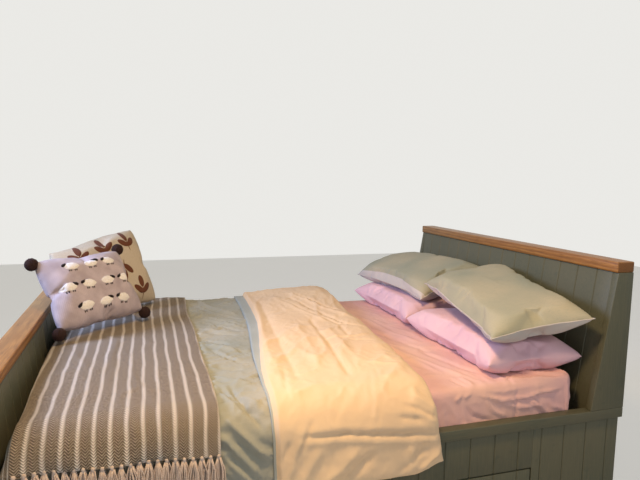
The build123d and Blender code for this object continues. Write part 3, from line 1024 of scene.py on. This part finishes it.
# The turned-down end: the run over the cloth, and the place along the bed, of its pale
# hem's edge, of the edge of its cream side and of the rolled edge by the pillows.
hem_marks = ((0, -150), (240, -155), (640, -183), (1055, -240), (1485, -272), (1850, -258))
cream_marks = ((0, -100), (215, -105), (600, -130), (1000, -200), (1225, -242), (1490, -265),
               (1850, -250))
rolled_marks = ((0, 390), (250, 370), (480, 360), (745, 345), (1270, 300), (1500, 265),
                (1665, 285), (1800, 320))
fold_creases = (
    (-8, 24, (-50, 200), (-90, 700), (-135, 1185), (-150, 1400)),
    (8, 22, (-90, 260), (-150, 760), (-205, 1260)),
    (-7, 12, (30, 230), (155, 615), (205, 760), (340, 865)),
    (-7, 11, (130, 130), (250, 465), (340, 585)), (-7, 11, (90, 200), (190, 600), (245, 810)),
    (9, 17, (115, 120), (215, 480), (320, 710)), (7, 20, (20, 180), (110, 520), (170, 740)),
    (-9, 14, (110, 620), (60, 1090), (15, 1430)), (8, 22, (140, 780), (100, 1200)),
    (7, 24, (20, 700), (-20, 1100), (-60, 1340)), (-6, 12, (210, 700), (180, 1000)),
    (7, 12, (45, 970), (205, 970), (310, 935)), (-6, 11, (150, 1015), (275, 1040)),
    (-7, 13, (-170, 1250), (-215, 1510)), (6, 18, (120, 1290), (240, 1345)),
    (-10, 5, (-215, 1620), (-35, 1627), (165, 1655), (300, 1663)),
    (4, 14, (-230, 1602), (-35, 1604), (165, 1630), (300, 1636)),
    (5, 12, (-215, 1640), (-35, 1648), (165, 1678), (310, 1688)),
    (-9, 9, (140, 1555), (295, 1615)), (8, 13, (180, 1530), (290, 1580)),
    (-7, 9, (110, 1590), (230, 1615)), (-6, 9, (200, 1500), (290, 1550)),
    (14, 28, (10, 1660), (-60, 1740), (-150, 1800)), (-11, 16, (60, 1690), (-70, 1810)),
    (8, 16, (180, 1680), (170, 1800)), (11, 14, (300, 1715), (200, 1795)),
    (-9, 16, (260, 1680), (110, 1800)), (-8, 9, (-140, 1560), (-215, 1710)),
    (10, 13, (-175, 1580), (-240, 1800)), (-8, 8, (-220, 1620), (-250, 1710)),
    (9, 16, (-110, 1640), (-195, 1800)),
)


def turned_down_end():
    low, high = span("duvet_fold")
    duvet_top, mattress_top = span("duvet")[1].z, span("mattress")[1].z
    plump = high.z - duvet_top - 2 * MM
    top, hem = high.z, low.z
    length, path = path_over(low, high, drape_bend + 2 * plump, hem)
    columns, hem_columns = 84, 7
    hem_height = 10 * MM
    roll_width = 75 * MM

    def outer(u, v):
        flow = v * length
        y, z, out_y, out_z = path(flow)
        column = round(u * columns)
        hang = smooth_step(top - 50 * MM, hem, z)
        foot_edge = along_marks(hem_marks, flow)
        cream_edge = along_marks(cream_marks, flow) + 2 * MM * ripple(0, flow, 0.09, 41)
        head_edge = along_marks(rolled_marks, flow) + 5 * MM * ripple(3, flow, 0.2, 42)
        if column <= hem_columns:
            x = foot_edge + (cream_edge - foot_edge) * column / hem_columns
            rise = hem_height - plump + 1.5 * MM * ripple(x, flow, 0.06, 44)
        else:
            share = (column - hem_columns) / (columns - hem_columns)
            x = cream_edge + (head_edge - cream_edge) * share
            wobble = 8 * MM * ripple(x, flow, 0.1, 16)
            bulge = smooth_step(0.62, 0.05, flow) * smooth_step(cream_edge, cream_edge + 0.24, x)
            across, along = turned(x, flow, 24)
            rise = 20 * MM * bulge + 7 * MM * ripple(x, flow, 0.22, 15)
            rise += 6 * MM * crumple(across, along * 0.35, 120 * MM, 12)
            rise += 2.5 * MM * crumple(across, along * 0.5, 45 * MM, 18)
            rise += pressed(x + wobble * 0.5, flow + wobble * 0.4, fold_creases)
            rise -= 3 * MM + 4 * MM * hang
            lip = smooth_step(cream_edge + 34 * MM, cream_edge, x)
            rise = rise * (1 - lip) + 1 * MM * lip
            if column == hem_columns + 1:
                rise -= 2 * MM
        near_roll = smooth_step(head_edge - roll_width, head_edge - 20 * MM, x)
        deeper = (duvet_top - mattress_top) * near_roll
        droop = 10 * MM * near_roll * (1 - hang)
        tuck = smooth_step(0.80, 1.0, u) * smooth_step(0.955, 1.0, v)
        place = Vector((x, y + out_y * rise, z + out_z * rise - droop + 24 * MM * tuck))
        return place, Vector((0, out_y, out_z)), plump + rise + deeper - droop

    fold = quilt("duvet_turned_down", columns, 256, outer, (1.2, 5.5, 5, 4))
    fold.data.materials.append(cream_cotton)
    fold.data.materials.append(hem_cotton)
    for number, face in enumerate(fold.data.polygons):
        face.material_index = 1 if number // 2 % columns < hem_columns else 0
    hand_in(fold, None, "duvet_fold")


def striped_throw():
    low, high = span("throw")
    front, top, hem = low.y, high.z, span("throw_fringe")[1].z
    bend = drape_bend + 48 * MM
    length, path = path_over(low, high, bend, hem)
    tail = 40 * MM
    width = high.x - low.x + tail
    thickness = 7 * MM
    hem_lift, hem_slant = 6 * MM, 20 * MM
    columns, rows = 84, 230
    verts, layout = [], []
    for row in range(rows + 1):
        run = row / rows * length
        y, z, out_y, out_z = path(run)
        low_share = min(max((top - bend - z) / (top - bend - hem), 0.0), 1.0)
        hang = smooth_step(top - 60 * MM, hem, z)
        turn_at = low.x + 22 * MM + 20 * MM * smooth_step(0.0, front, y)
        for column in range(columns + 1):
            across = column / columns * width
            x = high.x - (width - across)
            x += 14 * MM * ripple(0.0, y + z, 0.5, 31) * (across / width)
            # Past this line the tail turns down behind the foot end.
            past = max(turn_at - x, 0.0)
            drop = past * 0.96
            x = turn_at - past * 0.28 if past else x
            soft = 16 * MM * smooth_step(turn_at + 90 * MM, turn_at, x)
            waves = 6 * MM * ripple(x, run, 0.24, 33)
            waves += 7 * MM * crumple(x + 0.2 * y, run * 0.35, 0.15, 34)
            waves += hang * 9 * MM * math.sin(x * 24 + 3 * ripple(x, z, 0.4, 35))
            rise = waves - 1 * MM
            lift = low_share * (hem_lift + hem_slant * (high.x - x) / (high.x - low.x))
            height = z + lift + out_z * (rise - soft) - drop * max(out_z, 0.2)
            verts.append((x, y + out_y * rise, height))
            layout.append((width - across, run))
    faces = [[a, d, c, b] for a, b, c, d in grid_faces(columns, rows)]
    throw = new_piece("herringbone_throw", verts, faces, layout)
    use_modifier(throw, "SOLIDIFY", thickness=thickness, offset=0)
    smooth(throw)
    hand_in(throw, throw_cloth, "throw")
    fringe = throw_fringe([Vector(place) for place in verts[rows * (columns + 1):]])


def evenly_along(line, pitch):
    """Places at an even pitch along a line of points."""
    reach = pitch / 2
    for first, second in zip(line, line[1:]):
        length = (second - first).length
        while reach <= length:
            yield first + (second - first) * (reach / length)
            reach += pitch
        reach -= length


def throw_fringe(hem):
    """Knotted tassels along the hem, each a small knot with a thick bundle of strands.
    The rings of a knot are the height and the radius in mm."""
    low, high = span("throw_fringe")
    pitch = 24 * MM
    length = high.z - low.z
    strand_radius = 1.7 * MM
    sides, steps, strands = 5, 6, 26
    knot_rings = ((5, 2), (4, 4.6), (1, 6.4), (-3, 6.2), (-7, 5), (-12, 4))
    verts_made, faces = [], []

    def tube(points, radii):
        start = len(verts_made)
        for centre, radius in zip(points, radii):
            for side in range(sides):
                turn = 2 * math.pi * side / sides
                across = Vector((radius * math.cos(turn), radius * math.sin(turn), 0))
                verts_made.append(centre + across)
        for ring in range(len(points) - 1):
            for side in range(sides):
                a = start + ring * sides + side
                b = start + ring * sides + (side + 1) % sides
                faces.append([a, b, b + sides, a + sides])
        last = start + (len(points) - 1) * sides
        faces.append([start + side for side in reversed(range(sides))])
        faces.append([last + side for side in range(sides)])

    for place in evenly_along(hem, pitch):
        knot = place + Vector((0, -1 * MM, 2 * MM))
        rings = [knot + Vector((0, 0, drop * MM)) for drop, _ in knot_rings]
        tube(rings, [radius * MM for _, radius in knot_rings])
        tassel_lean = random.uniform(-9, 9) * MM
        for strand in range(strands):
            turn = random.uniform(0, 2 * math.pi)
            off = math.sqrt(random.random())
            drop = length * random.uniform(0.84, 1.0)
            sway = random.uniform(-3, 3) * MM
            points = []
            for step in range(steps):
                share = step / (steps - 1)
                spread = (5 + 14 * smooth_step(0, 0.45, share)) * MM * off
                sideways = tassel_lean * share + sway * math.sin(share * 3.1 + strand)
                points.append(knot + Vector((
                    spread * math.cos(turn) + sideways,
                    0.6 * spread * math.sin(turn),
                    -6 * MM - drop * share,
                )))
            tube(points, [strand_radius] * (steps - 1) + [strand_radius * 0.5])
    fringe = face_outwards(new_piece("throw_tassels", verts_made, faces))
    return hand_in(fringe, fringe_yarn, "throw_fringe")


# Pillows and cushions

def standing(middle, along, facing):
    """A pad's own axes set up in the bed: X along it, Z out of its face."""
    z_axis = Vector(facing).normalized()
    x_axis = Vector(along)
    x_axis = (x_axis - z_axis * x_axis.dot(z_axis)).normalized()
    y_axis = z_axis.cross(x_axis)
    turn = Matrix((x_axis, y_axis, z_axis)).transposed().to_4x4()
    return Matrix.Translation(middle) @ turn


def centre_of(node):
    low, high = span(node)
    return (low + high) / 2


seam_spacing = 10 * MM


def sewn_bag(name, length, width, plump, bow):
    """A flat case of two sewn sides with a little filling. The sides bow outwards, so
    that they are straight once it is stuffed. Face materials: 0 the top, 1 the back."""
    columns, rows = round(length / seam_spacing), round(width / seam_spacing)
    seam_half = 0.8 * MM
    verts, layout = [], []
    for side in (1, -1):
        for row in range(rows + 1):
            for column in range(columns + 1):
                u, v = 2 * column / columns - 1, 2 * row / rows - 1
                fill = math.sqrt((1 - u ** 4) * (1 - v ** 4))
                x = u * length / 2 * (1 + bow * (1 - v * v) * abs(u) ** 3)
                y = v * width / 2 * (1 + bow * 1.4 * (1 - u * u) * abs(v) ** 3)
                verts.append(Vector((x, y, side * (plump / 2 * fill + seam_half))))
                layout.append((u * length / 2 + (side < 0) * 2 * length, v * width / 2))
    size = (columns + 1) * (rows + 1)
    faces = faces_of_both_sides(columns, rows)
    rim = list(range(columns))
    rim += [row * (columns + 1) + columns for row in range(rows)]
    rim += [rows * (columns + 1) + column for column in range(columns, 0, -1)]
    rim += [row * (columns + 1) for row in range(rows, 0, -1)]
    for first, second in zip(rim, rim[1:] + rim[:1]):
        faces.append([second, first, first + size, second + size])
    bag = new_piece(name, verts, faces, layout)
    for face in bag.data.polygons:
        face.material_index = 0 if face.normal.z > 0.01 else 1
    return bag, rim


def fit_bag(bag, size):
    """Bring a stuffed bag to its real length, width and thickness about its middle."""
    places = [point.co for point in bag.data.vertices]
    for axis, wanted in enumerate(size):
        low = min(place[axis] for place in places)
        high = max(place[axis] for place in places)
        for place in places:
            place[axis] = (place[axis] - (low + high) / 2) * wanted / (high - low)


def stuff(name, size, spare, pressure=4.0, plump=0.7, bow=0.045, bending=0.08):
    """A sewn bag, stuffed by simulation and brought to size, and the seam's points."""
    length, width, thickness = size
    bag, rim = sewn_bag(name, length, width, thickness * plump, bow)
    cloth_pass(bag, pressure, spare, bending)
    fit_bag(bag, size)
    seam = [bag.data.vertices[index].co.copy() for index in rim]
    return bag, seam


def smooth_cover(bag):
    """One subdivision, for the final surface of a stuffed piece."""
    use_modifier(bag, "SUBSURF", levels=1, render_levels=1)
    smooth(bag)


def piping(seam):
    """A fine piped edge along a seam."""
    sides, radius = 6, 2.2 * MM
    verts, faces = [], []
    for number, point in enumerate(seam):
        run = (seam[(number + 1) % len(seam)] - seam[number - 1]).normalized()
        out = Vector((run.y, -run.x, 0)).normalized()
        for side in range(sides):
            turn = 2 * math.pi * side / sides
            verts.append(point + radius * (math.cos(turn) * out + Vector((0, 0, math.sin(turn)))))
    for number in range(len(seam)):
        following = (number + 1) % len(seam)
        for side in range(sides):
            beside = (side + 1) % sides
            faces.append([number * sides + side, following * sides + side,
                          following * sides + beside, number * sides + beside])
    edge = face_outwards(new_piece("piping", verts, faces))
    for face in edge.data.polygons:
        face.material_index = 1
    return edge


def tree_of(piece):
    """The piece's faces, ready for rays."""
    mesh = piece.data
    return BVHTree.FromPolygons(
        [point.co for point in mesh.vertices], [face.vertices[:] for face in mesh.polygons]
    )


def press_under(lower, upper):
    """Dent the lower pad where the upper one lies on it."""
    clear, start_below = 1 * MM, 300 * MM
    above = tree_of(upper)
    points = lower.data.vertices
    middle = sum(point.co.z for point in points) / len(points)
    for point in points:
        if point.co.z < middle:
            continue
        start = point.co - Vector((0, 0, start_below))
        place, _, _, _ = above.ray_cast(start, Vector((0, 0, 1)), 2 * start_below)
        if place is not None and place.z - clear < point.co.z:
            point.co.z = max(place.z - clear, middle)


def rest_level(pad, height):
    """Flatten a pad's underside where it rests on a level."""
    kept_share = 0.02
    for point in pad.data.vertices:
        if point.co.z < height:
            point.co.z = height + kept_share * (point.co.z - height)


# Each pillow's name, size in mm, spare cloth, bow of its sides, the ways its length and
# its face point, and how far it has slid from the middle of its place, in mm.
pillow_plan = {
    "pillow_low_front": ("pillow_pink_front", (680, 418, 128), 0.07, 0.045,
                         (0.01, 1, 0), (0, 0, 1), (0, 8, 0)),
    "pillow_low_back": ("pillow_pink_back", (680, 418, 128), 0.05, 0.03,
                        (-0.005, 1, 0), (0, 0, 1), (0, 0, 0)),
    "pillow_top_front": ("pillow_sage_front", (686, 404, 128), 0.05, 0.045,
                         (0.15, 0.98, 0.10), (-0.18, -0.07, 0.98), (18, 4, 16)),
    "pillow_top_back": ("pillow_sage_back", (694, 400, 124), 0.06, 0.03,
                        (-0.09, 0.99, 0.03), (-0.36, -0.05, 0.93), (0, 14, -6)),
}
pale_band = 34 * MM


def show_reverse(pad, size):
    """Let the pale reverse come round to the top along the far long side."""
    columns, rows = (round(side / seam_spacing) for side in size[:2])
    for number, face in enumerate(pad.data.polygons[: 2 * columns * rows]):
        if number // 2 // columns >= rows - round(pale_band / seam_spacing):
            face.material_index = 1


def droop(pad, amount):
    """Let one corner hang, and the sides that meet there a little less."""
    half_length, half_width = 340 * MM, 209 * MM
    for point in pad.data.vertices:
        share_x = smooth_step(-0.2, 1.0, point.co.x / half_length)
        share_y = smooth_step(-0.2, 1.0, -point.co.y / half_width)
        point.co.z -= amount * (0.5 * share_x * share_y + 0.3 * share_y + 0.2 * share_x)


def pillows():
    mattress_top = span("mattress")[1].z
    pads = {}
    for node, (name, size, spare, bow, along, facing, shift) in pillow_plan.items():
        size = [side * MM for side in size]
        pad, seam = stuff(name, size, spare, bow=bow)
        if node == "pillow_top_back":
            show_reverse(pad, size)
        if "top" in node:
            smooth_cover(pad)
            edge = piping(seam)
            for piece in (pad, edge):
                piece.data.materials.append(sage_case)
                piece.data.materials.append(case_reverse)
            joined(name, [pad, edge])
        if node == "pillow_top_back":
            droop(pad, 62 * MM)
        pad.data.transform(standing(centre_of(node) + Vector(shift) * MM, along, facing))
        pads[node] = pad
    for stack in ("front", "back"):
        lower, upper = pads[f"pillow_low_{stack}"], pads[f"pillow_top_{stack}"]
        smooth_cover(lower)
        rest_level(lower, mattress_top + 2.5 * MM)
        press_under(lower, upper)
        lower.data.materials.append(pink_case)
        hand_in(lower, None, f"pillow_low_{stack}")
        hand_in(upper, None, f"pillow_top_{stack}")
        for face in lower.data.polygons:
            face.material_index = 0


# The two cushions: a fine knit with woolly sheep, and oatmeal linen with leaves

cushion_lay = {
    "cushion_front": ((0.786, 0.617, 0.025), (0.505, -0.665, 0.55)),
    "cushion_back": ((0.786, 0.615, 0.05), (0.51, -0.742, 0.435)),
}
cushion_size = {
    "cushion_front": (402 * MM, 320 * MM, 148 * MM),
    "cushion_back": (440 * MM, 392 * MM, 148 * MM),
}
cushion_shift = {"cushion_front": (-2, 10, 0), "cushion_back": (-12, -8, -2)}


def cushion_place(node):
    """A cushion's own axes set up where it stands."""
    middle = centre_of(node) + Vector(cushion_shift[node]) * MM
    return standing(middle, *cushion_lay[node])


def pebble(name, middle, radii, turn=0.0, rough=0.0, detail=3):
    """A rounded lump, begun as an icosphere, turned about Z and roughened a little."""
    leave_all()
    bpy.ops.mesh.primitive_ico_sphere_add(subdivisions=detail, radius=1, location=(0, 0, 0))
    lump = bpy.context.object
    lump.name = name
    with editing(lump):
        bpy.ops.transform.resize(value=radii)
    if rough:
        for point in lump.data.vertices:
            seed = Vector(middle) * 40
            point.co *= 1 + rough * noise.noise(point.co.normalized() * 3.2 + seed)
    lump.data.transform(Matrix.Translation(middle) @ Matrix.Rotation(turn, 4, "Z"))
    return lump


def woolly_sheep(row, column, x, y):
    """One plain sheep lying flat: a woolly body, a dark head and four short legs."""
    side = 1 if (row + column) % 2 else -1
    tilt, scale = random.uniform(-0.16, 0.16), 0.93
    fleece = pebble("fleece", (0, 0, 0), (31 * MM, 19 * MM, 6 * MM), 0, 0.16, 4)
    head = pebble("head", (side * 30 * MM, 9 * MM, 2 * MM), (11 * MM, 7 * MM, 5 * MM), -side * 0.5)
    ear = pebble("ear", (side * 22 * MM, 15 * MM, 2 * MM), (6 * MM, 2.6 * MM, 2.4 * MM), -side * 0.9,
                 detail=2)
    dark = [head, ear]
    for leg in (-17, -9, 8, 16):
        dark.append(pebble("leg", (leg * MM, -22 * MM, 0), (2.4 * MM, 5.4 * MM, 2.6 * MM), detail=2))
    fleece.data.materials.append(fleece_wool)
    features = joined("features", dark)
    features.data.materials.append(dark_felt)
    sheep = joined("sheep", [fleece, features])
    place = Matrix.Translation((x, y, 0)) @ Matrix.Rotation(tilt, 4, "Z")
    sheep.data.transform(place @ Matrix.Scale(scale, 4))
    return sheep


def felt_sprig(row, _, x, y):
    """A felt sprig of three pointed leaves on a stem, which hangs in every other row."""
    turn = random.uniform(-0.4, 0.4) + (row % 2) * math.pi
    parts = [pebble("stem", (0, 0, 0), (2.4 * MM, 46 * MM, 1.8 * MM), detail=2)]
    for leaf_x, leaf_y, lean in ((0, 38, 0), (22, 3, -0.8), (-22, 3, 0.8)):
        middle = (leaf_x * MM, leaf_y * MM, 0)
        parts.append(pebble("leaf", middle, (14 * MM, 30 * MM, 2.4 * MM), lean))
    sprig = joined("sprig", parts)
    sprig.data.materials.append(print_brown)
    sprig.data.transform(Matrix.Translation((x, y - 8 * MM, 0)) @ Matrix.Rotation(turn, 4, "Z"))
    return sprig


def sew_onto(patch, cushion_tree):
    """Lay a flat patch on a cushion's upper face, following its crown."""
    high, proud = 300 * MM, 0.4 * MM
    for point in patch.data.vertices:
        start = Vector((point.co.x, point.co.y, high))
        place, normal, _, _ = cushion_tree.ray_cast(start, Vector((0, 0, -1)), 2 * high)
        if place is None:
            place, normal = Vector((point.co.x, point.co.y, 0)), Vector((0, 0, 1))
        point.co = place + normal * (point.co.z + proud)


def cushion(node, name, material, trim_name, motif, rows, pitch_x, pitch_y):
    """A stuffed cushion set up in its place, with rows of motifs sewn on."""
    pad, _ = stuff(name, cushion_size[node], 0.02, 6.0, bow=0.085, bending=0.3)
    smooth_cover(pad)
    surface = tree_of(pad)
    patches = []
    for row, count in enumerate(rows):
        y = ((len(rows) - 1) / 2 - row) * pitch_y
        for column in range(count):
            patch = motif(row, column, (column - (count - 1) / 2) * pitch_x, y)
            sew_onto(patch, surface)
            patches.append(patch)
    trim = joined(trim_name, patches)
    for piece in (pad, trim):
        if node == "cushion_back":
            lower_far_corner(piece)
        piece.data.transform(cushion_place(node))
        smooth(piece)
    for face in pad.data.polygons:
        face.material_index = 0
    hand_in(pad, material, node)
    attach(trim, HERE)


def cushions():
    cushion("cushion_front", "cushion_fine_knit", lilac_knit,
            "cushion_woolly_sheep", woolly_sheep, (3, 4, 3), 86 * MM, 90 * MM)
    cushion("cushion_back", "cushion_oatmeal", oatmeal_linen,
            "cushion_felt_leaves", felt_sprig, (3, 2, 3), 124 * MM, 122 * MM)
    pompoms()


def lower_far_corner(piece):
    """The back cushion's outer top corner has slumped."""
    half_x, half_y = 205 * MM, 197 * MM
    for point in piece.data.vertices:
        share = smooth_step(-0.6, 1.0, -point.co.x / half_x)
        share *= smooth_step(-0.9, 1.0, point.co.y / half_y)
        point.co.y -= 46 * MM * share
        point.co.x -= 18 * MM * share


def pompoms():
    """Four wool pompoms, one sewn to each corner of the knitted cushion."""
    radius = 27 * MM
    place = cushion_place("cushion_front")
    corner_x, corner_y = (half / 2 + 3 * MM for half in cushion_size["cushion_front"][:2])
    made = []
    for right in (-1, 1):
        for up in (-1, 1):
            hanging = 12 * MM if right < 0 < up else 0.0
            centre = place @ Vector((right * corner_x, up * corner_y - hanging, 0))
            leave_all()
            bpy.ops.mesh.primitive_ico_sphere_add(subdivisions=6, radius=radius, location=centre)
            ball = bpy.context.object
            for point in ball.data.vertices:
                out = point.co.normalized()
                tuft = noise.noise(out * 7 + centre * 50) + 0.9 * noise.noise(out * 19)
                point.co = out * (radius - 2.2 * MM + 3.4 * MM * tuft)
            made.append(settle(ball))
    balls = joined("cushion_wool_pompoms", made)
    bpy.ops.object.shade_smooth()
    hand_in(balls, pompom_wool, "cushion_pompoms")


# Camera, light and floor

def photograph_view():
    """The camera where the photograph was taken, with its lens."""
    data = bpy.data.cameras.new("photograph_view")
    data.sensor_width = 36
    data.lens = 31
    data.clip_end = 60
    camera = bpy.data.objects.new("photograph_view", data)
    bpy.context.collection.objects.link(camera)
    right = Vector((0.9537, -0.3003, 0.0158))
    up = Vector((0.0193, 0.1136, 0.9933))
    back = Vector((-0.3001, -0.9471, 0.1141))
    turn = Matrix((right, up, back)).transposed().to_4x4()
    camera.matrix_world = Matrix.Translation((-0.6106, -2.3089, 1.5500)) @ turn
    bpy.context.scene.camera = camera


def area_light(name, place, target, size, power, colour):
    data = bpy.data.lights.new(name, "AREA")
    data.shape = "DISK"
    data.size = size
    data.energy = power
    data.color = from_srgb(colour)[:3]
    lamp = bpy.data.objects.new(name, data)
    bpy.context.collection.objects.link(lamp)
    aim = Vector(target) - Vector(place)
    lamp.rotation_mode = "QUATERNION"
    lamp.rotation_quaternion = aim.to_track_quat("-Z", "Y")
    lamp.location = place


def soft_light():
    """A small warm lamp over the open side, a cool one beyond the foot end, a wide one in
    front, and a pale world that is dimmer as light than as it is seen."""
    area_light("warm_overhead", (-0.35, -1.15, 2.35), (0.25, -0.2, 0.85), 0.3, 29, "#FFD7A0")
    area_light("cool_from_the_foot", (-2.2, 0.1, 2.0), (0.1, -0.15, 0.85), 0.8, 54, "#BCD0FF")
    area_light("from_the_front", (0.6, -3.4, 2.0), (0.4, 0, 0.6), 2.4, 19, "#F5F3F8")
    world = bpy.data.worlds.new("pale_room")
    world.use_nodes = True
    node = partial(add_node, world.node_tree)
    seen, mirrored = node("LightPath", out="Is Camera Ray"), node("LightPath", out="Is Glossy Ray")
    shown = node("Math", {0: seen, 1: mirrored}, operation="MAXIMUM")
    strength = node("MapRange", {"Value": shown, "To Min": 0.3, "To Max": 0.94})
    background = world.node_tree.nodes["Background"]
    background.inputs["Color"].default_value = from_srgb("#F1F0EC")
    world.node_tree.links.new(strength, background.inputs["Strength"])
    bpy.context.scene.world = world


def studio_floor():
    """A plain pale floor, no part of the bed."""
    leave_all()
    bpy.ops.mesh.primitive_plane_add(size=16, location=(0, 0, 0))
    floor = bpy.context.object
    floor.name = "studio_floor"
    material, shader, node = new_material("pale_floor_paint", 0.8, 0.2)
    place = node("TexCoord", out="Object")
    clouds = node("TexNoise", {"Vector": place, "Scale": 1 / 0.8})
    tone = node("MixRGB", {"Fac": clouds, "Color1": "#E2E0DB", "Color2": "#E8E6E1"})
    grit = node("TexNoise", {"Vector": place, "Scale": 1 / (4 * MM)})
    finish_surface(shader, tone, grit, 0.05 * MM)
    seen = node("LightPath", out="Is Camera Ray")
    glow = node("Math", {0: seen, 1: 0.42}, operation="MULTIPLY")
    shader.inputs["Emission Color"].default_value = from_srgb("#E6E4DF")
    material.node_tree.links.new(glow, shader.inputs["Emission Strength"])
    floor.data.materials.append(material)


front_boarding()
hidden_side_boarding()
rails_and_plinths()
raked_end("head", 1)
raked_end("foot", -1)
drawer_fronts()
plain_carcass()
fitted_mattress()
duvet()
turned_down_end()
striped_throw()
pillows()
cushions()
photograph_view()
soft_light()
studio_floor()
bpy.context.scene.view_settings.view_transform = "Standard"
